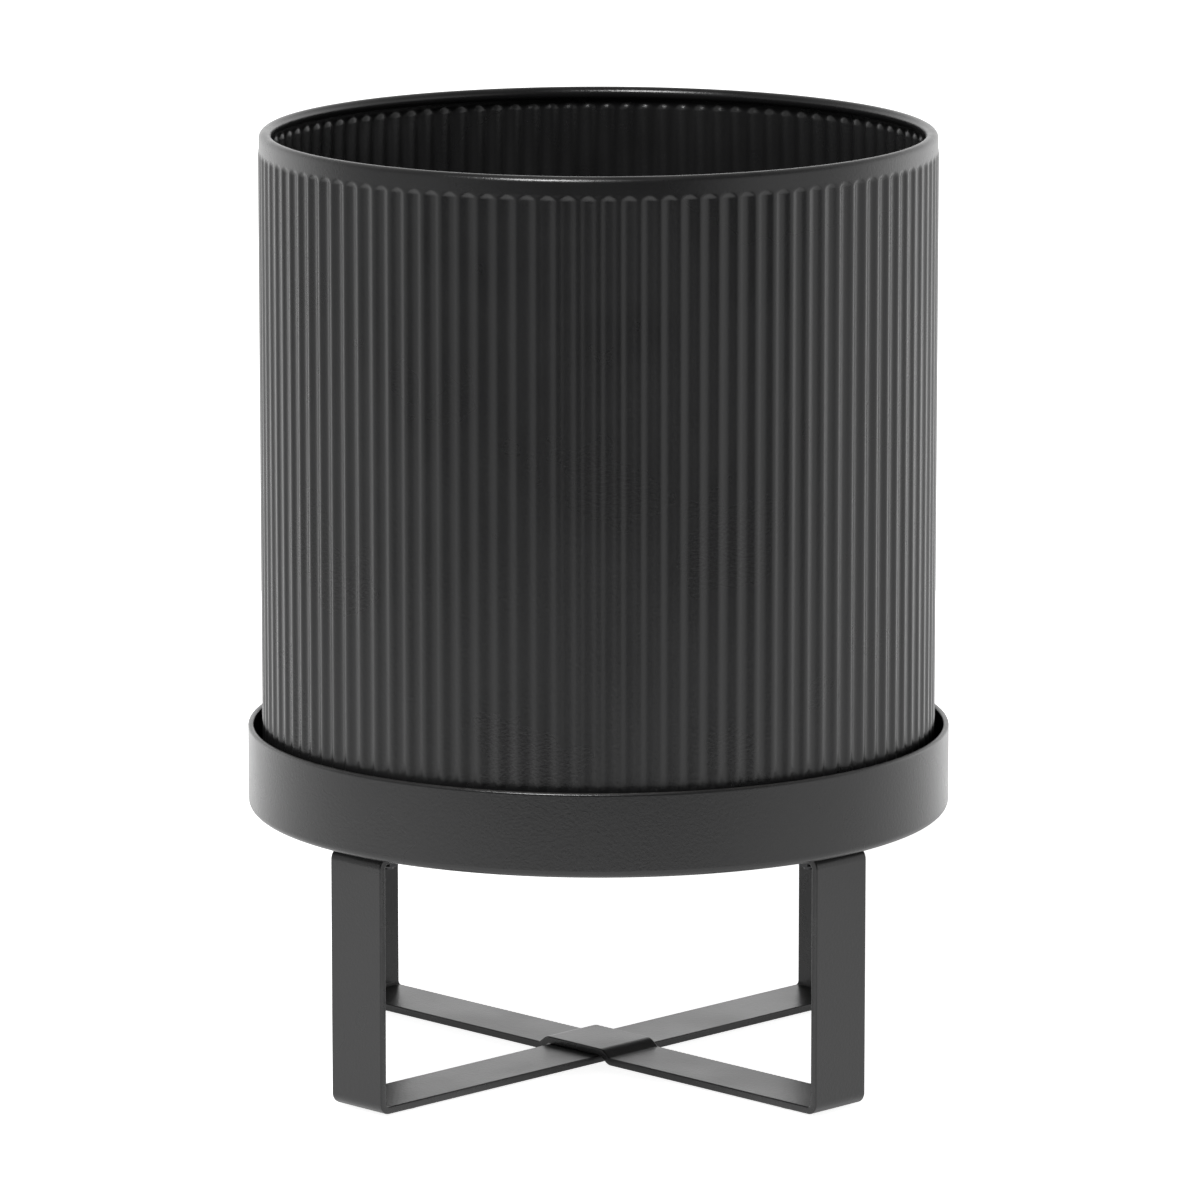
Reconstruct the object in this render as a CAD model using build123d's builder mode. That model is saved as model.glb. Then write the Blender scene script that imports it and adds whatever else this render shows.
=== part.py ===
"""Fluted steel bin that stands loose in a round tray on two crossed flat-bar leg frames.

Millimetres, +Z up, front towards -Y. The origin is on the floor, under the centre of the tray.
The upper leg frame runs from rear left to front right and steps over the lower one.
"""
import os
from math import atan, cos, pi, radians, sin

from build123d import *

# Overall sizes
overall_height = 375.0
tray_diameter = 280.0

# Foot pads, stuck under the four ends of the floor bars
pad_diameter = 22.0
pad_thickness = 1.0
pad_setback = 20.0  # pad centre to the leg's outer face

# Leg frames, bent from flat bar
bar_width = 28.0
bar_thickness = 3.0
bar_edge_radius = 0.4
bend_radius = 1.5  # inside of each corner
frame_height = 103.0
leg_inset = 6.0  # leg's outer face to the tray's edge
flange_length = 30.0  # under the tray, from the leg's outer face
joggle_clearance = 1.5  # past each side of the bar that is stepped over
joggle_run = 4.0
joggle_radius = 2.0  # inside of each bend of the step

# Tray, a pressed dish with a hem folded inwards at its edge
tray_height = 33.5
tray_sheet = 1.2
tray_corner_radius = 3.0
hem_depth = 8.0
hem_rounding = 0.9  # edge radius as a share of the sheet

# Screws that hold the tray on the leg frames
screw_diameter = 5.0
screw_hole_clearance = 0.25  # on the radius
screw_setback = 17.0  # screw axis to the leg's outer face
screw_head_diameter = 9.5
screw_head_height = 2.6
screw_head_rounding = 1.6
screw_end_length = 1.0  # thread that shows below the nut
socket_width = 3.0
socket_depth = 1.6
washer_diameter = 13.0
washer_thickness = 1.2
nut_width = 8.0  # across flats
nut_height = 4.7
nut_chamfer = 0.5
thread_clearance = 0.05  # on the radius

# Bin wall, rolled sheet with upright flutes pressed inwards
tray_gap = 3.3  # between the tray's hem and the flutes' ridges
bin_sheet = 1.0
flute_count = 108
flute_depth = 1.0  # ridge crest to groove bottom
ridge_share = 0.4  # ridge width as a share of the pitch
ridge_rise = 0.3  # ridges stand this far out of the plain bands
flute_end_overcut = 0.2  # the sloping flute ends start this far behind the groove bottoms
flute_end_length = 3.0
top_band_height = 6.5  # rim crest to the flute ends
bottom_band_height = 7.0

# Rim roll, curled inwards round a wire
wire_diameter = 2.9
wire_clearance = 0.05  # on the radius
roll_turn = 285.0  # degrees of curl

# Bin floor and the rubber feet under it
floor_fit = 0.05  # on the radius
floor_edge_clearance = 0.5  # floor and its flange to the ends of the bottom band
floor_bend_radius = 1.0  # inside of the flange's bend
bin_foot_diameter = 20.0
bin_foot_taper = 6.0  # degrees
bin_foot_rounding = 0.8
bin_foot_circle = 100.0  # radius of the circle of feet
bin_stand_off = 2.0  # wall's lower edge above the tray floor

# Levels
frame_bottom = pad_thickness
frame_top = frame_bottom + frame_height
tray_floor = frame_top + tray_sheet
tray_top = frame_top + tray_height
wall_bottom = tray_floor + bin_stand_off

# Radii
tray_radius = tray_diameter / 2
hem_radius = tray_radius - 2 * tray_sheet
leg_radius = tray_radius - leg_inset
screw_circle = leg_radius - screw_setback
pad_circle = leg_radius - pad_setback
ridge_radius = hem_radius - tray_gap
band_radius = ridge_radius - ridge_rise
groove_radius = ridge_radius - flute_depth
roll_radius = wire_diameter / 2 + wire_clearance + bin_sheet
roll_centre_radius = band_radius - roll_radius
roll_centre_height = overall_height - roll_radius
screw_hole_radius = screw_diameter / 2 + screw_hole_clearance

# Flute ends, where the plain bands begin
flute_bottom = wall_bottom + bottom_band_height
flute_top = overall_height - top_band_height
flute_pitch = 2 * pi * ridge_radius / flute_count
flank_angle = 2 * atan(2 * flute_depth / flute_pitch)

# The legs stand on the diagonals; the lower frame runs from front left to rear right
leg_angle = 45.0
lower_frame_plane = Plane(
    origin=(0, 0, 0),
    x_dir=(cos(radians(leg_angle)), sin(radians(leg_angle)), 0),
    z_dir=(sin(radians(leg_angle)), -cos(radians(leg_angle)), 0),
)
upper_frame_plane = Plane(
    origin=(0, 0, 0),
    x_dir=(cos(radians(leg_angle)), -sin(radians(leg_angle)), 0),
    z_dir=(-sin(radians(leg_angle)), -cos(radians(leg_angle)), 0),
)


def polar_point(radius, angle):
    """Point at a radius and an angle in radians."""
    return (radius * cos(angle), radius * sin(angle))


def flute_outline(inset):
    """Draw the closed fluted outline, moved inwards by inset at right angles to the surface.

    Each ridge and each groove is one arc, and neighbours meet with the same slope.
    """
    pitch_angle = 2 * pi / flute_count
    flank_radius = ridge_radius - flute_depth * ridge_share - inset * cos(flank_angle)
    flank_offset = ridge_share * pitch_angle / 2 - inset * sin(flank_angle) / ridge_radius
    for flute in range(flute_count):
        ridge = flute * pitch_angle
        groove = ridge + pitch_angle / 2
        ridge_start = polar_point(flank_radius, ridge - flank_offset)
        ridge_end = polar_point(flank_radius, ridge + flank_offset)
        next_start = polar_point(flank_radius, ridge + pitch_angle - flank_offset)
        ThreePointArc(ridge_start, polar_point(ridge_radius - inset, ridge), ridge_end)
        ThreePointArc(ridge_end, polar_point(groove_radius - inset, groove), next_start)


def band_outline(inset, bottom, top):
    """Draw half the section of the plain bands and the sloping flute ends, moved in by inset."""
    band = band_radius - inset
    core = groove_radius - flute_end_overcut - inset
    Polyline(
        (0, bottom),
        (band, bottom),
        (band, flute_bottom),
        (core, flute_bottom + flute_end_length),
        (core, flute_top - flute_end_length),
        (band, flute_top),
        (band, top),
        (0, top),
        close=True,
    )


def screw_holes(level, depth):
    """Cut the four screw holes into the part being built, from a level along Z."""
    with BuildSketch(Plane.XY.offset(level)) as holes:
        with PolarLocations(screw_circle, 4, start_angle=leg_angle):
            Circle(screw_hole_radius)
    extrude(holes.sketch, amount=depth, mode=Mode.SUBTRACT)


def leg_frame(plane, floor_points, floor_radii):
    """Bend one leg frame along its centre line: flange, leg, floor bar, leg, flange."""
    centre_radius = bend_radius + bar_thickness / 2
    leg_line = leg_radius - bar_thickness / 2
    flange_end = leg_radius - flange_length
    flange_line = frame_top - bar_thickness / 2
    floor_line = frame_bottom + bar_thickness / 2
    with BuildPart() as frame:
        with BuildSketch(plane):
            with BuildLine():
                FilletPolyline(
                    (-flange_end, flange_line),
                    (-leg_line, flange_line),
                    (-leg_line, floor_line),
                    *floor_points,
                    (leg_line, floor_line),
                    (leg_line, flange_line),
                    (flange_end, flange_line),
                    radius=[centre_radius] * 2 + floor_radii + [centre_radius] * 2,
                )
            trace(line_width=bar_thickness)
        extrude(amount=bar_width / 2, both=True)
        side_faces = frame.faces().filter_by(Axis(plane.origin, plane.z_dir))
        fillet(side_faces.edges(), radius=bar_edge_radius)
        screw_holes(frame_top, -2 * bar_thickness)
    return frame


# Lower leg frame, straight along the floor
lower_leg_frame = leg_frame(lower_frame_plane, [], [])
lower_leg_frame.part.label = "lower_leg_frame"

# Upper leg frame, with a step up over the lower one
step_top = bar_width / 2 + joggle_clearance
step_foot = step_top + joggle_run
step_low = frame_bottom + bar_thickness / 2
step_high = step_low + bar_thickness
step_points = [(-step_foot, step_low), (-step_top, step_high), (step_top, step_high), (step_foot, step_low)]
step_radii = [joggle_radius + bar_thickness / 2] * len(step_points)
upper_leg_frame = leg_frame(upper_frame_plane, step_points, step_radii)
upper_leg_frame.part.label = "upper_leg_frame"

# Foot pads
with BuildPart() as foot_pads:
    with BuildSketch():
        with PolarLocations(pad_circle, 4, start_angle=leg_angle):
            Circle(pad_diameter / 2)
    extrude(amount=pad_thickness)
foot_pads.part.label = "foot_pads"

# Tray
with BuildPart() as tray:
    with BuildSketch(Plane.XZ) as tray_section:
        with BuildLine():
            Polyline(
                (0, frame_top),
                (tray_radius, frame_top),
                (tray_radius, tray_top),
                (hem_radius, tray_top),
                (hem_radius, tray_top - hem_depth),
                (tray_radius - tray_sheet, tray_top - hem_depth),
                (tray_radius - tray_sheet, tray_floor),
                (0, tray_floor),
                close=True,
            )
        make_face()
        outer_corner = tray_section.vertices().group_by(Axis.Y)[0].sort_by(Axis.X)[-1]
        fillet(outer_corner, radius=tray_corner_radius)
        inner_corner = tray_section.vertices().filter_by_position(
            Axis.Y, tray_floor, tray_floor
        ).sort_by(Axis.X)[-1]
        fillet(inner_corner, radius=tray_corner_radius - tray_sheet)
        hem_corners = tray_section.vertices().group_by(Axis.Y)[-1]
        fillet(hem_corners, radius=tray_sheet * hem_rounding)
    revolve(axis=Axis.Z)
    screw_holes(tray_floor, -2 * tray_sheet)
tray.part.label = "tray"

# Screws through the tray and the leg frames' flanges, washers under their heads, nuts below
head_seat = tray_floor + washer_thickness
nut_bottom = frame_top - bar_thickness - nut_height
with BuildPart() as tray_screws:
    with BuildSketch(Plane.XY.offset(head_seat)):
        with PolarLocations(screw_circle, 4, start_angle=leg_angle):
            Circle(screw_head_diameter / 2)
    extrude(amount=screw_head_height)
    fillet(tray_screws.edges().group_by(Axis.Z)[-1], radius=screw_head_rounding)
    with BuildSketch(Plane.XY.offset(head_seat)):
        with PolarLocations(screw_circle, 4, start_angle=leg_angle):
            Circle(screw_diameter / 2)
    extrude(amount=nut_bottom - screw_end_length - head_seat)
    with BuildSketch(Plane.XY.offset(head_seat + screw_head_height)):
        with PolarLocations(screw_circle, 4, start_angle=leg_angle):
            RegularPolygon(socket_width / 2, 6, major_radius=False)
    extrude(amount=-socket_depth, mode=Mode.SUBTRACT)
tray_screws.part.label = "tray_screws"

with BuildPart() as sealing_washers:
    with BuildSketch(Plane.XY.offset(tray_floor)):
        with PolarLocations(screw_circle, 4, start_angle=leg_angle):
            Circle(washer_diameter / 2)
            Circle(screw_diameter / 2 + thread_clearance, mode=Mode.SUBTRACT)
    extrude(amount=washer_thickness)
sealing_washers.part.label = "sealing_washers"

with BuildPart() as lock_nuts:
    with BuildSketch(Plane.XY.offset(nut_bottom)):
        with PolarLocations(screw_circle, 4, start_angle=leg_angle):
            RegularPolygon(nut_width / 2, 6, major_radius=False)
            Circle(screw_diameter / 2 + thread_clearance, mode=Mode.SUBTRACT)
    extrude(amount=nut_height)
    nut_rims = lock_nuts.edges().filter_by(GeomType.LINE).group_by(Axis.Z)[0]
    chamfer(nut_rims, length=nut_chamfer)
lock_nuts.part.label = "lock_nuts"

# Bin wall: plain bands top and bottom, flutes between them, and the rolled rim
with BuildPart() as fluted_wall:
    with BuildSketch(Plane.XZ):
        with BuildLine():
            band_outline(0, wall_bottom, roll_centre_height)
        make_face()
    revolve(axis=Axis.Z)
    with BuildSketch(Plane.XY.offset(flute_bottom)):
        with BuildLine():
            flute_outline(0)
        make_face()
    extrude(amount=flute_top - flute_bottom)
    with BuildSketch(Plane.XZ):
        with BuildLine():
            band_outline(bin_sheet, wall_bottom - bin_sheet, overall_height)
        make_face()
    revolve(axis=Axis.Z, mode=Mode.SUBTRACT)
    with BuildSketch(Plane.XY.offset(flute_bottom)):
        with BuildLine():
            flute_outline(bin_sheet)
        make_face()
    extrude(amount=flute_top - flute_bottom, mode=Mode.SUBTRACT)
    with BuildSketch(Plane.XZ):
        with BuildLine():
            roll_centre = (roll_centre_radius, roll_centre_height)
            outer_curl = CenterArc(roll_centre, roll_radius, 0, roll_turn)
            inner_curl = CenterArc(roll_centre, roll_radius - bin_sheet, 0, roll_turn)
            Line(outer_curl @ 0, inner_curl @ 0)
            Line(outer_curl @ 1, inner_curl @ 1)
        make_face()
    revolve(axis=Axis.Z)
fluted_wall.part.label = "fluted_wall"

# Wire inside the rim roll
with BuildPart() as rim_wire:
    with BuildSketch(Plane.XZ):
        with Locations((roll_centre_radius, roll_centre_height)):
            Circle(wire_diameter / 2)
    revolve(axis=Axis.Z)
rim_wire.part.label = "rim_wire"

# Bin floor, a disc with its flange turned down inside the bottom band
floor_radius = band_radius - bin_sheet - floor_fit
floor_top = flute_bottom - floor_edge_clearance
floor_underside = floor_top - bin_sheet
with BuildPart() as bin_floor:
    with BuildSketch(Plane.XZ) as floor_section:
        with BuildLine():
            Polyline(
                (0, floor_underside),
                (floor_radius - bin_sheet, floor_underside),
                (floor_radius - bin_sheet, wall_bottom + floor_edge_clearance),
                (floor_radius, wall_bottom + floor_edge_clearance),
                (floor_radius, floor_top),
                (0, floor_top),
                close=True,
            )
        make_face()
        outer_bend = floor_section.vertices().group_by(Axis.Y)[-1].sort_by(Axis.X)[-1]
        fillet(outer_bend, radius=floor_bend_radius + bin_sheet)
        inner_bend = floor_section.vertices().filter_by_position(
            Axis.Y, floor_underside, floor_underside
        ).sort_by(Axis.X)[-1]
        fillet(inner_bend, radius=floor_bend_radius)
    revolve(axis=Axis.Z)
bin_floor.part.label = "bin_floor"

# Rubber feet under the bin floor
with BuildPart() as bin_feet:
    with BuildSketch(Plane.XY.offset(floor_underside)):
        with PolarLocations(bin_foot_circle, 4):
            Circle(bin_foot_diameter / 2)
    extrude(amount=tray_floor - floor_underside, taper=bin_foot_taper)
    fillet(bin_feet.edges().group_by(Axis.Z)[0], radius=bin_foot_rounding)
bin_feet.part.label = "bin_feet"

os.makedirs("parts", exist_ok=True)
export_step(foot_pads.part, "parts/foot_pads.step")
export_step(lower_leg_frame.part, "parts/lower_leg_frame.step")
export_step(upper_leg_frame.part, "parts/upper_leg_frame.step")
export_step(tray.part, "parts/tray.step")
export_step(tray_screws.part, "parts/tray_screws.step")
export_step(sealing_washers.part, "parts/sealing_washers.step")
export_step(lock_nuts.part, "parts/lock_nuts.step")
export_step(fluted_wall.part, "parts/fluted_wall.step")
export_step(rim_wire.part, "parts/rim_wire.step")
export_step(bin_floor.part, "parts/bin_floor.step")
export_step(bin_feet.part, "parts/bin_feet.step")
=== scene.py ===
"""Looks for a fluted steel bin that stands in a round tray on two crossed leg frames.

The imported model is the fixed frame. The sheet-metal pieces are rebuilt here as smooth numpy
surfaces in the same places; the small fasteners and rubber parts keep their own meshes.
"""

import math

import bpy
import numpy as np
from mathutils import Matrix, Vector


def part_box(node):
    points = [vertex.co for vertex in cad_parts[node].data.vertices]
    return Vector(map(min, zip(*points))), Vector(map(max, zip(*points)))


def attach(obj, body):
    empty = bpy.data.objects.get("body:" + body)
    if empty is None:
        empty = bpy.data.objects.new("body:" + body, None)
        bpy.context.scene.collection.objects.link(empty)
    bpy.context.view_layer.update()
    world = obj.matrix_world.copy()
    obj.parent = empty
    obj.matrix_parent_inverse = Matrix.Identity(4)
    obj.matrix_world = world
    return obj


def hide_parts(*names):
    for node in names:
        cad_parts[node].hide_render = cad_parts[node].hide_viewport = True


bl_info = {
    "name": "Fluted Bin On Tray Stand",
    "version": (1, 0, 0),
    "blender": (4, 5, 0),
    "location": "View3D > Sidebar > Fluted Bin",
    "description": "Builds the visible pieces, finishes and studio of a fluted bin on a tray stand",
    "category": "Object",
}

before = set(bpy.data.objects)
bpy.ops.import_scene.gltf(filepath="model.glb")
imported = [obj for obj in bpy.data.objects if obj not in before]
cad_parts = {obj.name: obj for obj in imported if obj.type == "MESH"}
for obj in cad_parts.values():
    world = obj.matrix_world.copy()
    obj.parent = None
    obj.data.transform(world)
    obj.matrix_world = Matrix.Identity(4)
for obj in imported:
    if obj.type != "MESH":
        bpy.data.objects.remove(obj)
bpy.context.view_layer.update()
MM = 0.001

WALL_LOW, WALL_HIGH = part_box("fluted_wall")
WIRE_LOW, WIRE_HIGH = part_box("rim_wire")
FLOOR_LOW, FLOOR_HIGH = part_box("bin_floor")
TRAY_LOW, TRAY_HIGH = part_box("tray")
PADS_LOW, PADS_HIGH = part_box("foot_pads")


# ---------------------------------------------------------------- settings


class WallSettings(bpy.types.PropertyGroup):
    """Sizes of the bin's fluted wall."""

    flute_count: bpy.props.IntProperty(
        name="Flutes", description="Grooves pressed round the wall", default=108, min=12, max=240
    )
    flute_depth: bpy.props.FloatProperty(
        name="Flute depth",
        description="Ridge crest to groove bottom",
        default=1.0 * MM,
        subtype="DISTANCE",
        unit="LENGTH",
        precision=5,
    )
    ridge_share: bpy.props.FloatProperty(
        name="Ridge share",
        description="Ridge width as a share of the pitch",
        default=0.4,
        min=0.05,
        max=0.95,
        subtype="FACTOR",
    )
    ridge_rise: bpy.props.FloatProperty(
        name="Ridge rise",
        description="How far the ridges stand out of the plain bands",
        default=0.3 * MM,
        subtype="DISTANCE",
        unit="LENGTH",
        precision=5,
    )
    sheet: bpy.props.FloatProperty(
        name="Sheet",
        description="Thickness of the wall and floor sheet",
        default=1.0 * MM,
        subtype="DISTANCE",
        unit="LENGTH",
        precision=5,
    )
    top_band: bpy.props.FloatProperty(
        name="Top band",
        description="Rim crest to the flute ends",
        default=6.5 * MM,
        subtype="DISTANCE",
        unit="LENGTH",
        precision=5,
    )
    bottom_band: bpy.props.FloatProperty(
        name="Bottom band",
        description="Height of the plain band at the bottom",
        default=7.0 * MM,
        subtype="DISTANCE",
        unit="LENGTH",
        precision=5,
    )
    end_length: bpy.props.FloatProperty(
        name="Flute ends",
        description="Height over which each end of a groove rises to the plain band",
        default=3.0 * MM,
        subtype="DISTANCE",
        unit="LENGTH",
        precision=5,
    )
    roll_turn: bpy.props.FloatProperty(
        name="Roll turn",
        description="How far the rim is curled round its wire",
        default=math.radians(285),
        subtype="ANGLE",
        unit="ROTATION",
    )


class TraySettings(bpy.types.PropertyGroup):
    """Sizes of the tray."""

    sheet: bpy.props.FloatProperty(
        name="Sheet",
        description="Thickness of the tray's sheet",
        default=1.2 * MM,
        subtype="DISTANCE",
        unit="LENGTH",
        precision=5,
    )
    corner: bpy.props.FloatProperty(
        name="Corner",
        description="Outside radius between the tray's floor and its side",
        default=3.0 * MM,
        subtype="DISTANCE",
        unit="LENGTH",
        precision=5,
    )
    hem: bpy.props.FloatProperty(
        name="Hem",
        description="Depth of the hem folded inwards at the tray's edge",
        default=8.0 * MM,
        subtype="DISTANCE",
        unit="LENGTH",
        precision=5,
    )


class LegSettings(bpy.types.PropertyGroup):
    """Sizes of the two leg frames."""

    reach: bpy.props.FloatProperty(
        name="Reach",
        description="Centre of the tray to a leg's outer face",
        default=134.0 * MM,
        subtype="DISTANCE",
        unit="LENGTH",
        precision=5,
    )
    bar_width: bpy.props.FloatProperty(
        name="Bar width",
        description="Width of the flat bar",
        default=28.0 * MM,
        subtype="DISTANCE",
        unit="LENGTH",
        precision=5,
    )
    bar_thickness: bpy.props.FloatProperty(
        name="Bar thickness",
        description="Thickness of the flat bar",
        default=3.0 * MM,
        subtype="DISTANCE",
        unit="LENGTH",
        precision=5,
    )
    bend: bpy.props.FloatProperty(
        name="Bend",
        description="Inside radius of the corners",
        default=1.5 * MM,
        subtype="DISTANCE",
        unit="LENGTH",
        precision=5,
    )
    edge: bpy.props.FloatProperty(
        name="Edge",
        description="Radius that the coat gives the bar's long edges",
        default=0.5 * MM,
        subtype="DISTANCE",
        unit="LENGTH",
        precision=5,
    )
    flange: bpy.props.FloatProperty(
        name="Flange",
        description="Length of the flanges under the tray, from the leg's outer face",
        default=30.0 * MM,
        subtype="DISTANCE",
        unit="LENGTH",
        precision=5,
    )
    step_clearance: bpy.props.FloatProperty(
        name="Step clearance",
        description="Level stretch of the step past each side of the lower bar",
        default=1.5 * MM,
        subtype="DISTANCE",
        unit="LENGTH",
        precision=5,
    )
    step_run: bpy.props.FloatProperty(
        name="Step run",
        description="Length over which the upper bar rises",
        default=4.0 * MM,
        subtype="DISTANCE",
        unit="LENGTH",
        precision=5,
    )
    step_bend: bpy.props.FloatProperty(
        name="Step bend",
        description="Inside radius of the step's bends",
        default=2.0 * MM,
        subtype="DISTANCE",
        unit="LENGTH",
        precision=5,
    )


class FinishSettings(bpy.types.PropertyGroup):
    """Colours and gloss of the finishes."""

    coat_colour: bpy.props.FloatVectorProperty(
        name="Coat",
        description="Colour of the powder coat",
        default=(0.010, 0.010, 0.0103),
        subtype="COLOR",
        min=0.0,
        max=1.0,
    )
    coat_roughness: bpy.props.FloatProperty(
        name="Coat roughness",
        description="Roughness of the powder coat",
        default=0.29,
        min=0.0,
        max=1.0,
        subtype="FACTOR",
    )
    coat_grain: bpy.props.FloatProperty(
        name="Coat grain",
        description="Size of the orange peel in the powder coat",
        default=1.2 * MM,
        subtype="DISTANCE",
        unit="LENGTH",
        precision=5,
    )
    coat_relief: bpy.props.FloatProperty(
        name="Coat relief",
        description="Height of the orange peel in the powder coat",
        default=0.075 * MM,
        subtype="DISTANCE",
        unit="LENGTH",
        precision=6,
    )
    coat_wear: bpy.props.FloatProperty(
        name="Coat wear",
        description="How far the edges of the powder coat are rubbed",
        default=0.25,
        min=0.0,
        max=1.0,
        subtype="FACTOR",
    )
    dust_colour: bpy.props.FloatVectorProperty(
        name="Dust",
        description="Colour of settled dust",
        default=(0.16, 0.155, 0.15),
        subtype="COLOR",
        min=0.0,
        max=1.0,
    )
    rubber_colour: bpy.props.FloatVectorProperty(
        name="Rubber",
        description="Colour of the rubber feet, pads and washers",
        default=(0.02, 0.02, 0.02),
        subtype="COLOR",
        min=0.0,
        max=1.0,
    )
    steel_colour: bpy.props.FloatVectorProperty(
        name="Steel",
        description="Colour of the drawn wire in the rim",
        default=(0.5, 0.5, 0.51),
        subtype="COLOR",
        min=0.0,
        max=1.0,
    )
    plated_colour: bpy.props.FloatVectorProperty(
        name="Plated steel",
        description="Colour of the black plated screws and nuts",
        default=(0.06, 0.06, 0.062),
        subtype="COLOR",
        min=0.0,
        max=1.0,
    )


class StageSettings(bpy.types.PropertyGroup):
    """Floor, light and camera."""

    floor_radius: bpy.props.FloatProperty(
        name="Floor radius",
        description="Radius of the round floor",
        default=1.0,
        subtype="DISTANCE",
        unit="LENGTH",
    )
    floor_thickness: bpy.props.FloatProperty(
        name="Floor thickness",
        description="Thickness of the round floor",
        default=4.0 * MM,
        subtype="DISTANCE",
        unit="LENGTH",
        precision=5,
    )
    floor_colour: bpy.props.FloatVectorProperty(
        name="Floor",
        description="Colour of the floor",
        default=(0.9, 0.9, 0.9),
        subtype="COLOR",
        min=0.0,
        max=1.0,
    )
    key_size: bpy.props.FloatProperty(
        name="Key softbox size",
        description="Side of the square softbox in front, on the left",
        default=0.5,
        subtype="DISTANCE",
        unit="LENGTH",
    )
    key_power: bpy.props.FloatProperty(
        name="Key power",
        description="Power of the key softbox",
        default=26.0,
        subtype="POWER",
        unit="POWER",
    )
    key_place: bpy.props.FloatVectorProperty(
        name="Key place",
        description="Centre of the key softbox",
        default=(-0.42, -1.06, 1.50),
        subtype="TRANSLATION",
        unit="LENGTH",
    )
    back_light: bpy.props.FloatProperty(
        name="Back light",
        description="Brightness of the wall behind",
        default=1.45,
        min=0.0,
        max=10.0,
    )
    left_light: bpy.props.FloatProperty(
        name="Left light",
        description="Brightness of the wall on the left",
        default=0.55,
        min=0.0,
        max=10.0,
    )
    right_light: bpy.props.FloatProperty(
        name="Right light",
        description="Brightness of the wall on the right",
        default=0.9,
        min=0.0,
        max=10.0,
    )
    near_glow: bpy.props.FloatProperty(
        name="Near glow",
        description="Light that the floor gives off near the bin",
        default=0.6,
        min=0.0,
        max=10.0,
    )
    far_glow: bpy.props.FloatProperty(
        name="Far glow",
        description="Light that the floor gives off behind the bin, besides the near glow",
        default=1.0,
        min=0.0,
        max=10.0,
    )
    camera_distance: bpy.props.FloatProperty(
        name="Camera distance",
        description="Camera to the bin's axis, along the floor",
        default=3.2484,
        subtype="DISTANCE",
        unit="LENGTH",
    )
    camera_height: bpy.props.FloatProperty(
        name="Camera height",
        description="Camera above the floor",
        default=0.8169,
        subtype="DISTANCE",
        unit="LENGTH",
    )
    camera_tilt: bpy.props.FloatProperty(
        name="Camera tilt",
        description="How far the camera looks down",
        default=0.1918,
        subtype="ANGLE",
        unit="ROTATION",
    )
    camera_lens: bpy.props.FloatProperty(
        name="Lens", description="Focal length in millimetres", default=249.0, min=1.0, max=1000.0
    )
    camera_shift: bpy.props.FloatProperty(
        name="Shift", description="Sideways shift of the lens", default=0.00125, min=-0.1, max=0.1
    )


# ---------------------------------------------------------------- surfaces


def arc_points(centre, radius, start, end, steps):
    """Points on an arc: centre plus radius times (cos, sin) of evenly spaced angles in radians."""
    angle = np.linspace(start, end, steps + 1)
    return np.stack([centre[0] + radius * np.cos(angle), centre[1] + radius * np.sin(angle)], axis=1)


def rounded_run(corners, radii, steps=6, support=0.1 * MM):
    """Open 2-D run through corners, each rounded by an arc tangent to its two sides.

    An arc of radius r at a corner that turns by t starts r * tan(t / 2) before the corner. One
    support point a short way along each straight side keeps the shading of that side flat. The
    second result is the run's direction at each point.
    """
    corners = np.asarray(corners, dtype=float)
    points, headings = [corners[:1]], []
    for before, corner, after, radius in zip(corners[:-2], corners[1:-1], corners[2:], radii):
        way_in = (corner - before) / np.linalg.norm(corner - before)
        way_out = (after - corner) / np.linalg.norm(after - corner)
        turn = math.atan2(way_in[0] * way_out[1] - way_in[1] * way_out[0], way_in @ way_out)
        heading = math.atan2(way_in[1], way_in[0])
        cut = radius * math.tan(abs(turn) / 2)
        side = np.array([-way_in[1], way_in[0]]) * math.copysign(1, turn)
        first = math.atan2(-side[1], -side[0])
        arc = arc_points(corner - way_in * cut + side * radius, radius, first, first + turn, steps)
        ahead, beyond = corner - way_in * (cut + support), corner + way_out * (cut + support)
        points += [ahead[None], arc, beyond[None]]
        headings += [[heading] * (1 if headings else 2), np.linspace(heading, heading + turn, steps + 1)]
        headings += [[heading + turn]]
    points.append(corners[-1:])
    headings.append(headings[-1])
    heading = np.concatenate(headings)
    return np.concatenate(points), np.stack([np.cos(heading), np.sin(heading)], axis=1)


def lathe(section, columns):
    """Surface of revolution: (r cos a, r sin a, z) for each section point (r, z) and column angle a."""
    angle = np.arange(columns) * (2 * math.pi / columns)
    radius, height = section[:, :1], section[:, 1:]
    return np.stack(
        [radius * np.cos(angle), radius * np.sin(angle), np.broadcast_to(height, (len(section), columns))],
        axis=-1,
    )


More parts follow.
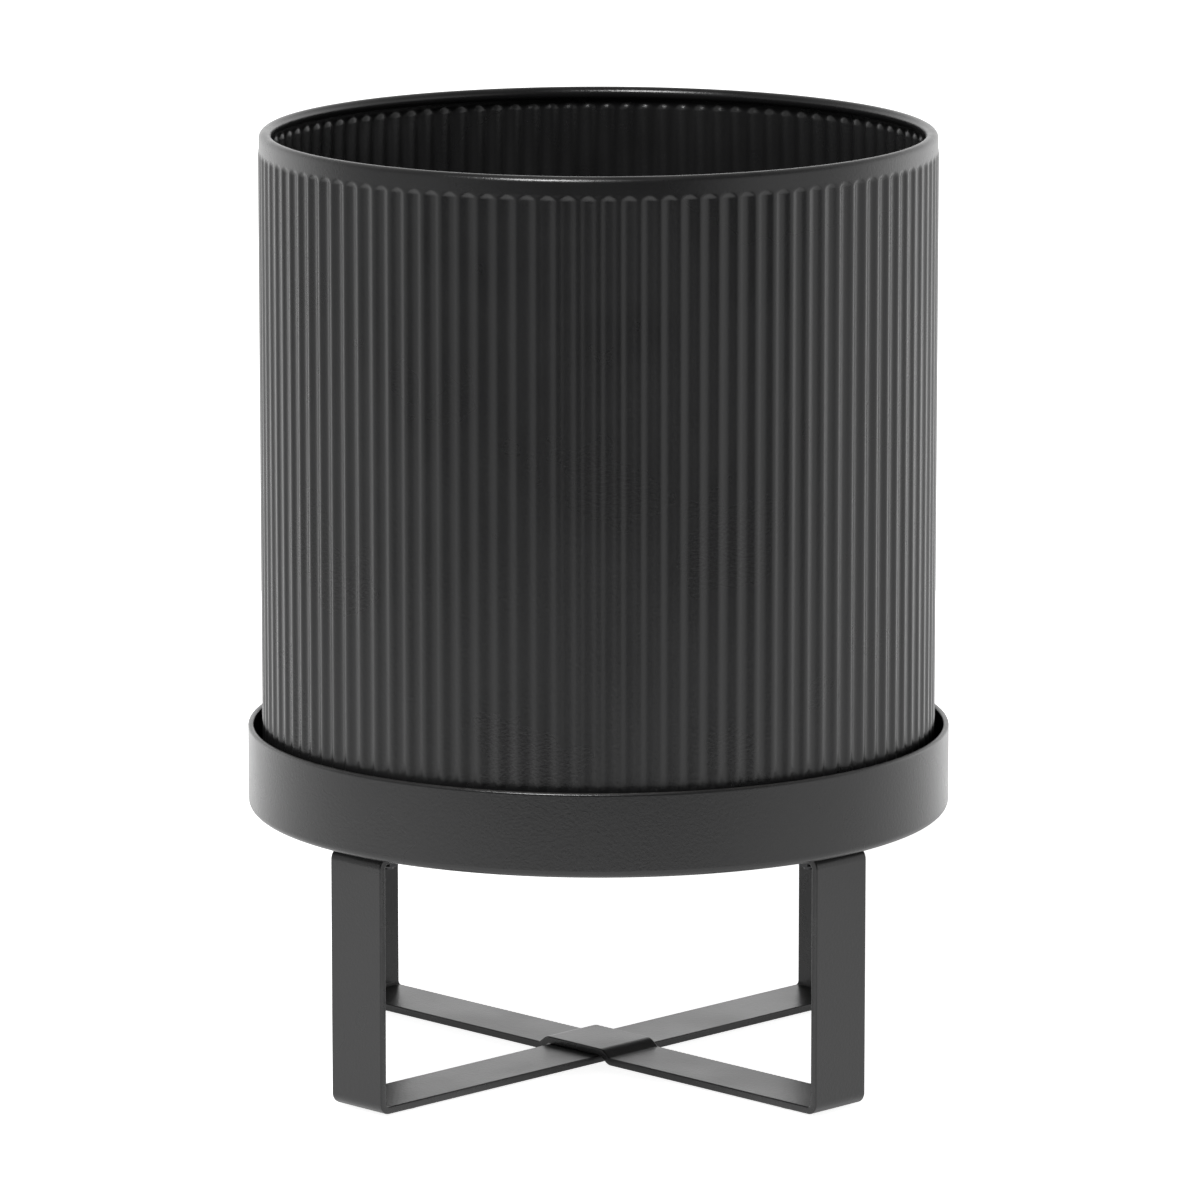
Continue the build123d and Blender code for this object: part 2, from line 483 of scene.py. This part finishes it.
def grid_object(name, grid, start_pole=None, end_pole=None, edge=None):
    """Make a closed object from a grid of points, with its columns joined round.

    Each cell of the grid is one quad. Without poles the last row joins the first; with poles a
    fan closes each end. edge is a number for each row, each column or each point of the grid,
    kept as the attribute "edge".
    """
    rows, columns = grid.shape[:2]
    index = np.arange(rows * columns).reshape(rows, columns)
    closed = start_pole is None
    here = index if closed else index[:-1]
    there = np.roll(index, -1, axis=0) if closed else index[1:]
    quads = np.stack([here, np.roll(here, -1, axis=1), np.roll(there, -1, axis=1), there], axis=-1)
    quads = quads.reshape(-1, 4)
    points = grid.reshape(-1, 3)
    fans = np.empty((0, 3), dtype=int)
    if not closed:
        points = np.concatenate([points, [start_pole], [end_pole]])
        first, last = index[0], index[-1]
        start_fan = np.stack([np.full(columns, len(points) - 2), np.roll(first, -1), first], axis=-1)
        end_fan = np.stack([np.full(columns, len(points) - 1), last, np.roll(last, -1)], axis=-1)
        fans = np.concatenate([start_fan, end_fan])
    triangles = np.concatenate([quads[:, [0, 1, 2]], quads[:, [0, 2, 3]], fans])
    a, b, c = (points[triangles[:, k]] for k in range(3))
    if np.einsum("ij,ij->", a, np.cross(b, c)) < 0:
        quads, fans = quads[:, ::-1], fans[:, ::-1]
    mesh = bpy.data.meshes.new(name)
    mesh.from_pydata(points.tolist(), [], quads.tolist() + fans.tolist())
    mesh.shade_smooth()
    if edge is not None:
        values = np.zeros(len(points), dtype=np.float32)
        values[: rows * columns] = np.broadcast_to(edge, (rows, columns)).ravel()
        mesh.attributes.new("edge", "FLOAT", "POINT").data.foreach_set("value", values)
    if mesh.validate():
        raise RuntimeError(f"{name} has faces that don't hold together")
    piece = bpy.data.objects.new(name, mesh)
    bpy.context.scene.collection.objects.link(piece)
    return piece


def surface_object(name, grid, body, replaced, slot, **more):
    """Grid object that rides on a body and stands for one CAD node."""
    piece = grid_object(name, grid, **more)
    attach(piece, body)
    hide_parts(replaced)
    return piece


def rounded_section(width, height, radius, inset, steps=4):
    """Closed rounded-rectangle outline, moved inwards by inset, as offsets (across, through).

    Four corner arcs round the four inner corner points; two support points flatten each wide side.
    """
    corner = max(radius - inset, 0.02 * MM)
    half_wide, half_high = width / 2 - inset - corner, height / 2 - inset - corner
    support = min(0.15 * MM, half_high / 2)
    pieces = []
    for quarter, (across, through) in enumerate(((1, 1), (-1, 1), (-1, -1), (1, -1))):
        centre = (across * half_wide, through * half_high)
        arc = arc_points(centre, corner, quarter * math.pi / 2, (quarter + 1) * math.pi / 2, steps)
        step_in = np.array([-across * support, 0.0])
        if quarter % 2 == 0:
            pieces += [arc, (arc[-1] + step_in)[None]]
        else:
            pieces += [(arc[0] + step_in)[None], arc]
    return np.concatenate(pieces)


def swept_bar(run, headings, forwards, width, height, radius):
    """Bar swept along a flat run: point + across * sideways + through * normal.

    The run is (along forwards, height), its normal is its direction turned a quarter turn, and
    sideways is level, at right angles to forwards. The section shrinks over the last radius of
    each end by the height of a quarter circle, which rounds the ends; one more row, a little
    further in, keeps the end face flat. Returns the grid, the two end centres and, for each
    column, 1 on the rounded edges and 0 on the flat faces.
    """
    quarter = np.linspace(0, math.pi / 2, 4)
    flat_row_inset = 1.2
    inset = radius * np.concatenate([[flat_row_inset], 1 - np.sin(quarter)])
    setback = radius * np.concatenate([[0.0], 1 - np.cos(quarter)])
    start = run[0] + headings[0] * setback[:, None]
    finish = (run[-1] - headings[-1] * setback[:, None])[::-1]
    centres = np.concatenate([start, run[1:-1], finish])
    first = np.repeat(headings[:1], len(inset), axis=0)
    last = np.repeat(headings[-1:], len(inset), axis=0)
    turned = np.concatenate([first, headings[1:-1], last])
    insets = np.concatenate([inset, np.zeros(len(run) - 2), inset[::-1]])
    section = np.stack([rounded_section(width, height, radius, value) for value in insets])
    normals = np.stack([-turned[:, 1], turned[:, 0]], axis=1)
    flat = centres[:, None] + section[..., 1:] * normals[:, None]
    forwards = np.asarray(forwards, dtype=float)
    sideways = np.array([-forwards[1], forwards[0]])
    level = flat[..., :1] * forwards + section[..., :1] * sideways
    grid = np.concatenate([level, flat[..., 1:]], axis=-1)
    poles = [np.append(end[0] * forwards, end[1]) for end in (run[0], run[-1])]
    full = rounded_section(width, height, radius, 0)
    out = (np.abs(full[:, 0]) - (width / 2 - radius)) / radius
    return grid, poles, np.clip(out, 0, 1)


def fluted_wall(wall):
    """Bin wall: closed sheet section turned round the axis, with grooves pressed inwards.

    q is the distance to the nearest groove's centre line over half a pitch and, past the groove's
    ends, also the height over the length of the ends. With s the ridge share, the depth is
    1 - q^2 / (1 - s) near the centre and (1 - q)^2 / s beyond q = 1 - s, times the flute depth.
    The ridges rise out of the bands by a smooth step. The rim rolls inwards round the wire.
    """
    band_radius = WALL_HIGH.x - wall.ridge_rise
    half = math.pi * WALL_HIGH.x / wall.flute_count
    end = wall.end_length
    top = WALL_HIGH.z - wall.top_band - end
    bottom = WALL_LOW.z + wall.bottom_band + end
    wire_centre = np.array([0.0, (WIRE_LOW.z + WIRE_HIGH.z) / 2])
    curl = WALL_HIGH.z - wire_centre[1]
    wire_centre[0] = band_radius - curl
    turn = wall.roll_turn
    edge = 0.3 * MM

    fine = np.sin(np.linspace(0, math.pi / 2, 11))
    coarse = np.sin(np.linspace(0, math.pi / 2, 7))
    outer = np.concatenate([bottom - end * fine[::-1], top + end * fine])
    inner = np.concatenate([bottom - end * coarse[::-1], top + end * coarse])[::-1]
    inner_radius = band_radius - wall.sheet
    end_centre = wire_centre + (curl - wall.sheet / 2) * np.array([math.cos(turn), math.sin(turn)])
    section = np.concatenate(
        [
            [[band_radius - edge, WALL_LOW.z], [band_radius, WALL_LOW.z + edge]],
            np.stack([np.full_like(outer, band_radius), outer], axis=1),
            arc_points(wire_centre, curl, 0, turn, 20),
            arc_points(end_centre, wall.sheet / 2, turn, turn + math.pi, 4)[1:-1],
            arc_points(wire_centre, curl - wall.sheet, turn, 0, 12),
            np.stack([np.full_like(inner, inner_radius), inner], axis=1),
            [[inner_radius, WALL_LOW.z + edge], [inner_radius + edge, WALL_LOW.z]],
        ]
    )
    level = section[:, 1:]
    past_end = np.maximum(np.maximum(level - top, bottom - level), 0)
    spread = np.linspace(-1, 1, 13)[:-1]
    across = half * (0.5 * spread + 0.5 * np.sin(spread * math.pi / 2))
    share = wall.ridge_share
    q = np.clip(np.hypot(across / half, past_end / end), 0, 1)
    depth = np.where(q < 1 - share, 1 - q**2 / (1 - share), (1 - q) ** 2 / share)
    fade = np.clip(1.5 * (1 - past_end / end), 0, 1)
    rise = wall.ridge_rise * fade**2 * (3 - 2 * fade)
    radius = np.tile(section[:, :1] + rise - wall.flute_depth * depth, wall.flute_count)
    groove = (np.arange(wall.flute_count) + 0.5) * 2 * math.pi / wall.flute_count
    angle = (groove[:, None] + across / half * math.pi / wall.flute_count).ravel()
    height = np.broadcast_to(level, radius.shape)
    crest = np.clip((section[:, 1] - wire_centre[1]) / curl, 0, 1) ** 2
    return np.stack([radius * np.cos(angle), radius * np.sin(angle), height], axis=-1), crest[:, None]


def leg_run(legs, stepped):
    """Centre line of one leg frame: flange, leg, floor bar, leg, flange, with the step if it has one."""
    half = legs.bar_thickness / 2
    bend = legs.bend + half
    reach = legs.reach - half
    high, low = TRAY_LOW.z - half, PADS_HIGH.z + half
    foot_end = legs.reach - legs.flange
    corners = [(-foot_end, high), (-reach, high), (-reach, low)]
    radii = [bend, bend]
    if stepped:
        flat = legs.bar_width / 2 + legs.step_clearance
        raised = low + legs.bar_thickness
        foot = flat + legs.step_run
        corners += [(-foot, low), (-flat, raised), (flat, raised), (foot, low)]
        radii += [legs.step_bend + half] * 4
    corners += [(reach, low), (reach, high), (foot_end, high)]
    return rounded_run(corners, radii + [bend, bend], steps=8)


# ---------------------------------------------------------------- finishes


def shader_group(name, inputs, outputs):
    """Empty shader node group with named sockets; returns the tree, its input and its output node."""
    tree = bpy.data.node_groups.new(name, "ShaderNodeTree")
    for socket, kind, value in inputs:
        item = tree.interface.new_socket(socket, in_out="INPUT", socket_type=kind)
        if value is not None:
            item.default_value = value
    for socket, kind in outputs:
        tree.interface.new_socket(socket, in_out="OUTPUT", socket_type=kind)
    return tree, tree.nodes.new("NodeGroupInput"), tree.nodes.new("NodeGroupOutput")


def calculate(tree, operation, *values, clamp=False):
    """Math node; each value is a number or an output socket."""
    node = tree.nodes.new("ShaderNodeMath")
    node.operation = operation
    node.use_clamp = clamp
    for socket, value in zip(node.inputs, values):
        if isinstance(value, bpy.types.NodeSocket):
            tree.links.new(value, socket)
        else:
            socket.default_value = value
    return node.outputs[0]


def noise(tree, vector, scale, detail=2.0):
    """Noise texture on a vector; scale is a number or an output socket."""
    node = tree.nodes.new("ShaderNodeTexNoise")
    node.inputs["Detail"].default_value = detail
    tree.links.new(vector, node.inputs["Vector"])
    if isinstance(scale, bpy.types.NodeSocket):
        tree.links.new(scale, node.inputs["Scale"])
    else:
        node.inputs["Scale"].default_value = scale
    return node.outputs["Fac"]


def ramp(tree, value, low, high, to_low=0.0, to_high=1.0):
    """Smooth step of a value from one range to another."""
    node = tree.nodes.new("ShaderNodeMapRange")
    node.interpolation_type = "SMOOTHSTEP"
    tree.links.new(value, node.inputs["Value"])
    for socket, number in (("From Min", low), ("From Max", high), ("To Min", to_low), ("To Max", to_high)):
        node.inputs[socket].default_value = number
    return node.outputs["Result"]


def powder_grain_group():
    """Orange peel and fine grain of a baked coat: a height, and a slow drift of its tone."""
    tree, given, result = shader_group(
        "powder_grain",
        [("Vector", "NodeSocketVector", None), ("Grain Size", "NodeSocketFloat", 1.2 * MM)],
        [("Height", "NodeSocketFloat"), ("Tone", "NodeSocketFloat")],
    )
    vector = given.outputs["Vector"]
    scale = calculate(tree, "DIVIDE", 1.0, given.outputs["Grain Size"])
    peel = noise(tree, vector, scale, 1.0)
    fine = noise(tree, vector, calculate(tree, "MULTIPLY", scale, 3.7), 2.0)
    coarse_part = calculate(tree, "MULTIPLY", peel, 0.7)
    height = calculate(tree, "ADD", coarse_part, calculate(tree, "MULTIPLY", fine, 0.3))
    drift = noise(tree, vector, calculate(tree, "MULTIPLY", scale, 0.025), 3.0)
    tree.links.new(height, result.inputs["Height"])
    tree.links.new(ramp(tree, drift, 0.3, 0.7), result.inputs["Tone"])
    return tree


def edge_wear_group():
    """Rubbed edges: the surface's edge attribute broken up by noise."""
    tree, given, result = shader_group(
        "edge_wear",
        [("Vector", "NodeSocketVector", None), ("Amount", "NodeSocketFloat", 0.3)],
        [("Mask", "NodeSocketFloat")],
    )
    edge = tree.nodes.new("ShaderNodeAttribute")
    edge.attribute_name = "edge"
    spots = ramp(tree, noise(tree, given.outputs["Vector"], 180.0, 4.0), 0.42, 0.68)
    rubbed = calculate(tree, "MULTIPLY", edge.outputs["Fac"], spots)
    mask = calculate(tree, "MULTIPLY", rubbed, given.outputs["Amount"], clamp=True)
    tree.links.new(mask, result.inputs["Mask"])
    return tree


def settled_dust_group():
    """Dust on surfaces that face up, in soft patches."""
    tree, given, result = shader_group(
        "settled_dust",
        [("Vector", "NodeSocketVector", None), ("Amount", "NodeSocketFloat", 0.2)],
        [("Mask", "NodeSocketFloat")],
    )
    geometry = tree.nodes.new("ShaderNodeNewGeometry")
    split = tree.nodes.new("ShaderNodeSeparateXYZ")
    tree.links.new(geometry.outputs["Normal"], split.inputs["Vector"])
    facing_up = ramp(tree, split.outputs["Z"], 0.35, 0.95)
    patches = ramp(tree, noise(tree, given.outputs["Vector"], 45.0, 5.0), 0.3, 0.75, 0.35, 1.0)
    settled = calculate(tree, "MULTIPLY", facing_up, patches)
    mask = calculate(tree, "MULTIPLY", settled, given.outputs["Amount"], clamp=True)
    tree.links.new(mask, result.inputs["Mask"])
    return tree


def place_group(tree, name, builder, vector, **values):
    """Put a shared group in a material, with its own values; the group is built once."""
    node = tree.nodes.new("ShaderNodeGroup")
    node.node_tree = bpy.data.node_groups.get(name) or builder()
    tree.links.new(vector, node.inputs["Vector"])
    for socket, value in values.items():
        node.inputs[socket.replace("_", " ")].default_value = value
    return node


def blend_colours(tree, mask, first, second):
    """Colour mix by a mask; each colour is a triple or an output socket."""
    node = tree.nodes.new("ShaderNodeMix")
    node.data_type = "RGBA"
    tree.links.new(mask, node.inputs["Factor"])
    for socket, colour in ((node.inputs[6], first), (node.inputs[7], second)):
        if isinstance(colour, bpy.types.NodeSocket):
            tree.links.new(colour, socket)
        else:
            socket.default_value = (*colour, 1.0)
    return node.outputs[2]


def new_material(name):
    """Material with a Principled shader; returns the material, its shader and Object coordinates."""
    material = bpy.data.materials.new(name)
    material.use_nodes = True
    tree = material.node_tree
    tree.nodes.clear()
    shader = tree.nodes.new("ShaderNodeBsdfPrincipled")
    output = tree.nodes.new("ShaderNodeOutputMaterial")
    tree.links.new(shader.outputs["BSDF"], output.inputs["Surface"])
    return material, shader, tree.nodes.new("ShaderNodeTexCoord").outputs["Object"]


def shaded(colour, part):
    """Colour made lighter or darker by a factor."""
    return tuple(value * part for value in colour)


def bump(tree, shader, height, distance):
    """Raise the surface by a height times a distance."""
    node = tree.nodes.new("ShaderNodeBump")
    node.inputs["Strength"].default_value = 1.0
    node.inputs["Distance"].default_value = distance
    tree.links.new(height, node.inputs["Height"])
    tree.links.new(node.outputs["Normal"], shader.inputs["Normal"])


def coat_material(name, dust=0.12):
    """Satin black powder coat with faint orange peel, rubbed edges and a little dust."""
    finish = bpy.context.scene.fluted_bin_finish
    material, shader, vector = new_material(name)
    tree = material.node_tree
    powder = place_group(tree, "powder_grain", powder_grain_group, vector, Grain_Size=finish.coat_grain)
    worn = place_group(tree, "edge_wear", edge_wear_group, vector, Amount=finish.coat_wear)
    dusty = place_group(tree, "settled_dust", settled_dust_group, vector, Amount=dust)
    dark, light, rubbed = (shaded(finish.coat_colour, part) for part in (0.92, 1.08, 2.2))
    tone = blend_colours(tree, powder.outputs["Tone"], dark, light)
    tone = blend_colours(tree, worn.outputs["Mask"], tone, rubbed)
    tone = blend_colours(tree, dusty.outputs["Mask"], tone, tuple(finish.dust_colour))
    tree.links.new(tone, shader.inputs["Base Color"])
    smooth, rough = finish.coat_roughness - 0.02, finish.coat_roughness + 0.02
    gloss = ramp(tree, powder.outputs["Tone"], 0.0, 1.0, smooth, rough)
    polished = calculate(tree, "MULTIPLY", worn.outputs["Mask"], 0.12)
    dulled = calculate(tree, "MULTIPLY", dusty.outputs["Mask"], 0.25)
    gloss = calculate(tree, "ADD", calculate(tree, "SUBTRACT", gloss, polished), dulled, clamp=True)
    tree.links.new(gloss, shader.inputs["Roughness"])
    bump(tree, shader, powder.outputs["Height"], finish.coat_relief)
    return material


def rubber_material(name, lightness=1.0):
    """Matt moulded rubber with a fine even grain."""
    finish = bpy.context.scene.fluted_bin_finish
    material, shader, vector = new_material(name)
    tree = material.node_tree
    powder = place_group(tree, "powder_grain", powder_grain_group, vector, Grain_Size=0.5 * MM)
    dusty = place_group(tree, "settled_dust", settled_dust_group, vector, Amount=0.2)
    dark, light = (shaded(finish.rubber_colour, lightness * part) for part in (0.85, 1.2))
    tone = blend_colours(tree, powder.outputs["Tone"], dark, light)
    tone = blend_colours(tree, dusty.outputs["Mask"], tone, tuple(finish.dust_colour))
    tree.links.new(tone, shader.inputs["Base Color"])
    tree.links.new(ramp(tree, powder.outputs["Tone"], 0.0, 1.0, 0.7, 0.82), shader.inputs["Roughness"])
    bump(tree, shader, powder.outputs["Height"], 0.05 * MM)
    return material


def steel_material(name, colour, roughness=0.3):
    """Bare or plated steel with a fine grain and slightly dulled patches."""
    finish = bpy.context.scene.fluted_bin_finish
    material, shader, vector = new_material(name)
    tree = material.node_tree
    shader.inputs["Metallic"].default_value = 1.0
    powder = place_group(tree, "powder_grain", powder_grain_group, vector, Grain_Size=0.4 * MM)
    dusty = place_group(tree, "settled_dust", settled_dust_group, vector, Amount=0.1)
    dark, light = (shaded(colour, part) for part in (0.9, 1.08))
    tone = blend_colours(tree, powder.outputs["Tone"], dark, light)
    tone = blend_colours(tree, dusty.outputs["Mask"], tone, tuple(finish.dust_colour))
    tree.links.new(tone, shader.inputs["Base Color"])
    gloss = ramp(tree, powder.outputs["Tone"], 0.0, 1.0, roughness - 0.05, roughness + 0.08)
    tree.links.new(gloss, shader.inputs["Roughness"])
    bump(tree, shader, powder.outputs["Height"], 0.01 * MM)
    return material


def dress(piece, material):
    """Give a piece one finish."""
    piece.data.materials.clear()
    piece.data.materials.append(material)


# ---------------------------------------------------------------- pieces


class FLUTEDBIN_OT_wall(bpy.types.Operator):
    """Build the bin's fluted wall with its rolled rim"""

    bl_idname = "fluted_bin.wall"
    bl_label = "Fluted Wall"

    def execute(self, context):
        grid, crest = fluted_wall(context.scene.fluted_bin_wall)
        piece = surface_object("wall_skin", grid, "bin", "fluted_wall", "wall_coat", edge=crest)
        dress(piece, coat_material("wall_powder_coat"))
        return {"FINISHED"}


class FLUTEDBIN_OT_rim_wire(bpy.types.Operator):
    """Build the wire inside the rolled rim"""

    bl_idname = "fluted_bin.rim_wire"
    bl_label = "Rim Wire"

    def execute(self, context):
        radius = (WIRE_HIGH.z - WIRE_LOW.z) / 2
        centre = (WIRE_HIGH.x - radius, (WIRE_LOW.z + WIRE_HIGH.z) / 2)
        ring = arc_points(centre, radius, 0, 2 * math.pi, 20)[:-1]
        piece = surface_object("wire_ring", lathe(ring, 216), "bin", "rim_wire", "wire_steel")
        dress(piece, steel_material("drawn_wire", context.scene.fluted_bin_finish.steel_colour))
        return {"FINISHED"}


class FLUTEDBIN_OT_floor(bpy.types.Operator):
    """Build the bin's floor, a dish with its flange turned down"""

    bl_idname = "fluted_bin.floor"
    bl_label = "Bin Floor"

    def execute(self, context):
        sheet = context.scene.fluted_bin_wall.sheet
        radius, high, low = FLOOR_HIGH.x, FLOOR_HIGH.z, FLOOR_LOW.z
        inner, start = radius - sheet, 0.2 * radius
        corners = [(start, high), (radius, high), (radius, low), (inner, low), (inner, high - sheet)]
        corners += [(start, high - sheet)]
        section, _ = rounded_run(corners, [2 * sheet, 0.3 * sheet, 0.3 * sheet, sheet])
        ends = {"start_pole": (0, 0, high), "end_pole": (0, 0, high - sheet)}
        piece = surface_object("floor_dish", lathe(section, 288), "bin", "bin_floor", "wall_coat", **ends)
        dress(piece, coat_material("floor_powder_coat", dust=0.3))
        return {"FINISHED"}


class FLUTEDBIN_OT_tray(bpy.types.Operator):
    """Build the tray with the hem at its edge"""

    bl_idname = "fluted_bin.tray"
    bl_label = "Tray"

    def execute(self, context):
        tray = context.scene.fluted_bin_tray
        radius, high, low = TRAY_HIGH.x, TRAY_HIGH.z, TRAY_LOW.z
        inner, hem, floor = radius - tray.sheet, radius - 2 * tray.sheet, low + tray.sheet
        start = 0.2 * radius
        corners = [(start, low), (radius, low), (radius, high), (hem, high), (hem, high - tray.hem)]
        corners += [(inner, high - tray.hem), (inner, floor), (start, floor)]
        rim, fold = 0.9 * tray.sheet, 0.4 * tray.sheet
        radii = [tray.corner, rim, rim, fold, 0.2 * tray.sheet, tray.corner - tray.sheet]
        section, _ = rounded_run(corners, radii)
        crest = np.clip((section[:, 1] - high + rim) / rim, 0, 1)[:, None]
        ends = {"start_pole": (0, 0, low), "end_pole": (0, 0, floor)}
        grid = lathe(section, 360)
        piece = surface_object("tray_dish", grid, "stand", "tray", "tray_coat", edge=crest, **ends)
        dress(piece, coat_material("tray_powder_coat", dust=0.2))
        return {"FINISHED"}


class FLUTEDBIN_OT_legs(bpy.types.Operator):
    """Build the two leg frames from flat bar; the upper one steps over the lower one"""

    bl_idname = "fluted_bin.legs"
    bl_label = "Leg Frames"

    def execute(self, context):
        legs = context.scene.fluted_bin_legs
        coat = coat_material("leg_powder_coat")
        diagonal = math.sqrt(0.5)
        for name, node, forwards, stepped in (
            ("lower_leg_bar", "lower_leg_frame", (diagonal, diagonal), False),
            ("upper_leg_bar", "upper_leg_frame", (diagonal, -diagonal), True),
        ):
            run, headings = leg_run(legs, stepped)
            grid, poles, edges = swept_bar(
                run, headings, forwards, legs.bar_width, legs.bar_thickness, legs.edge
            )
            ends = {"start_pole": poles[0], "end_pole": poles[1]}
            piece = surface_object(name, grid, "stand", node, "leg_coat", edge=edges, **ends)
            dress(piece, coat)
        return {"FINISHED"}


class FLUTEDBIN_OT_fittings(bpy.types.Operator):
    """Finish the screws, nuts, washers, rubber feet and pads"""

    bl_idname = "fluted_bin.fittings"
    bl_label = "Fittings"

    def execute(self, context):
        plated = steel_material("black_plated_steel", context.scene.fluted_bin_finish.plated_colour, 0.38)
        rubber = rubber_material("moulded_rubber")
        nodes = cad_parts
        for node in ("tray_screws", "lock_nuts"):
            dress(nodes[node], plated)
        for node in ("bin_feet", "foot_pads"):
            dress(nodes[node], rubber)
        dress(nodes["sealing_washers"], rubber_material("washer_rubber", lightness=1.3))
        return {"FINISHED"}


# ---------------------------------------------------------------- studio


def floor_material(stage):
    """Plain matt pale floor that looks white, and throws a soft glow near and behind the bin."""
    material, shader, vector = new_material("studio_floor")
    tree = material.node_tree
    drift = ramp(tree, noise(tree, vector, 3.0, 2.0), 0.3, 0.7)
    tone = blend_colours(tree, drift, shaded(stage.floor_colour, 0.985), tuple(stage.floor_colour))
    tree.links.new(tone, shader.inputs["Base Color"])
    tree.links.new(tone, shader.inputs["Emission Color"])
    shader.inputs["Roughness"].default_value = 0.9
    shader.inputs["Specular IOR Level"].default_value = 0.1
    split = tree.nodes.new("ShaderNodeSeparateXYZ")
    tree.links.new(vector, split.inputs["Vector"])
    near = ramp(tree, split.outputs["Y"], -0.75, -0.3, 0.0, stage.near_glow)
    far = ramp(tree, split.outputs["Y"], 0.1, 0.8, 0.0, stage.far_glow)
    glow = calculate(tree, "ADD", near, far)
    seen = tree.nodes.new("ShaderNodeLightPath").outputs["Is Camera Ray"]
    tree.links.new(calculate(tree, "MAXIMUM", glow, seen), shader.inputs["Emission Strength"])
    return material


def studio_world(scene, stage):
    """Bright walls behind and at the sides that darken upwards, none in front; white to the eye."""
    world = bpy.data.worlds.new("studio_world")
    world.use_nodes = True
    tree = world.node_tree
    tree.nodes.clear()
    output = tree.nodes.new("ShaderNodeOutputWorld")
    background = tree.nodes.new("ShaderNodeBackground")
    tree.links.new(background.outputs["Background"], output.inputs["Surface"])
    background.inputs["Color"].default_value = (1.0, 1.0, 1.0, 1.0)
    split = tree.nodes.new("ShaderNodeSeparateXYZ")
    tree.links.new(tree.nodes.new("ShaderNodeTexCoord").outputs["Generated"], split.inputs["Vector"])
    behind = ramp(tree, split.outputs["Y"], -0.1, 0.85, 0.0, stage.back_light)
    right = ramp(tree, split.outputs["X"], 0.35, 0.9, 0.0, stage.right_light)
    left = ramp(tree, split.outputs["X"], -0.9, -0.35, stage.left_light, 0.0)
    above = ramp(tree, split.outputs["Z"], 0.15, 0.7, 1.0, 0.3)
    walls = calculate(tree, "ADD", behind, calculate(tree, "ADD", left, right))
    light = calculate(tree, "MULTIPLY", walls, above)
    seen = tree.nodes.new("ShaderNodeLightPath").outputs["Is Camera Ray"]
    tree.links.new(calculate(tree, "MAXIMUM", light, seen), background.inputs["Strength"])
    scene.world = world


def softbox(name, size, power, place):
    """Square softbox that looks at the middle of the object."""
    lamp = bpy.data.lights.new(name, "AREA")
    lamp.shape, lamp.size, lamp.energy = "SQUARE", size, power
    box = bpy.data.objects.new(name, lamp)
    box.location = place
    aim = Vector((0, 0, (WALL_HIGH.z + PADS_LOW.z) / 2)) - Vector(place)
    box.rotation_euler = aim.to_track_quat("-Z", "Y").to_euler()
    return box


class FLUTEDBIN_OT_stage(bpy.types.Operator):
    """Lay the floor, light it, hang the softbox and place the camera"""

    bl_idname = "fluted_bin.stage"
    bl_label = "Stage"

    def execute(self, context):
        scene = context.scene
        stage = scene.fluted_bin_stage
        radius, low = stage.floor_radius, -stage.floor_thickness
        start, rounding = 0.1 * radius, stage.floor_thickness / 4
        section, _ = rounded_run([(start, 0), (radius, 0), (radius, low), (start, low)], [rounding] * 2)
        floor = grid_object("floor", lathe(section, 180), (0, 0, 0), (0, 0, low))
        dress(floor, floor_material(stage))

        key = softbox("key_softbox", stage.key_size, stage.key_power, stage.key_place)

        lens = bpy.data.cameras.new("camera")
        lens.sensor_width, lens.lens = 36.0, stage.camera_lens
        lens.shift_x = stage.camera_shift
        lens.clip_end = 20.0
        camera = bpy.data.objects.new("camera", lens)
        camera.location = (0, -stage.camera_distance, stage.camera_height)
        camera.rotation_euler = (math.pi / 2 - stage.camera_tilt, 0, 0)

        for piece in (key, camera):
            scene.collection.objects.link(piece)
        studio_world(scene, stage)
        scene.camera = camera
        scene.view_settings.view_transform = "Standard"
        return {"FINISHED"}


class FLUTEDBIN_PT_panel(bpy.types.Panel):
    """Lists the pieces of the bin"""

    bl_label = "Fluted Bin"
    bl_idname = "FLUTEDBIN_PT_panel"
    bl_space_type = "VIEW_3D"
    bl_region_type = "UI"
    bl_category = "Fluted Bin"

    def draw(self, context):
        for operator in OPERATORS:
            self.layout.operator(operator.bl_idname)


SETTINGS = {
    "fluted_bin_wall": WallSettings,
    "fluted_bin_tray": TraySettings,
    "fluted_bin_legs": LegSettings,
    "fluted_bin_finish": FinishSettings,
    "fluted_bin_stage": StageSettings,
}
OPERATORS = (
    FLUTEDBIN_OT_wall,
    FLUTEDBIN_OT_rim_wire,
    FLUTEDBIN_OT_floor,
    FLUTEDBIN_OT_tray,
    FLUTEDBIN_OT_legs,
    FLUTEDBIN_OT_fittings,
    FLUTEDBIN_OT_stage,
)


def register():
    for name, group in SETTINGS.items():
        bpy.utils.register_class(group)
        setattr(bpy.types.Scene, name, bpy.props.PointerProperty(type=group))
    for cls in (*OPERATORS, FLUTEDBIN_PT_panel):
        bpy.utils.register_class(cls)


def unregister():
    for cls in reversed((*OPERATORS, FLUTEDBIN_PT_panel)):
        bpy.utils.unregister_class(cls)
    for name, group in reversed(SETTINGS.items()):
        delattr(bpy.types.Scene, name)
        bpy.utils.unregister_class(group)


def main():
    register()
    bpy.ops.fluted_bin.wall()
    bpy.ops.fluted_bin.rim_wire()
    bpy.ops.fluted_bin.floor()
    bpy.ops.fluted_bin.tray()
    bpy.ops.fluted_bin.legs()
    bpy.ops.fluted_bin.fittings()
    bpy.ops.fluted_bin.stage()


if __name__ == "__main__":
    main()
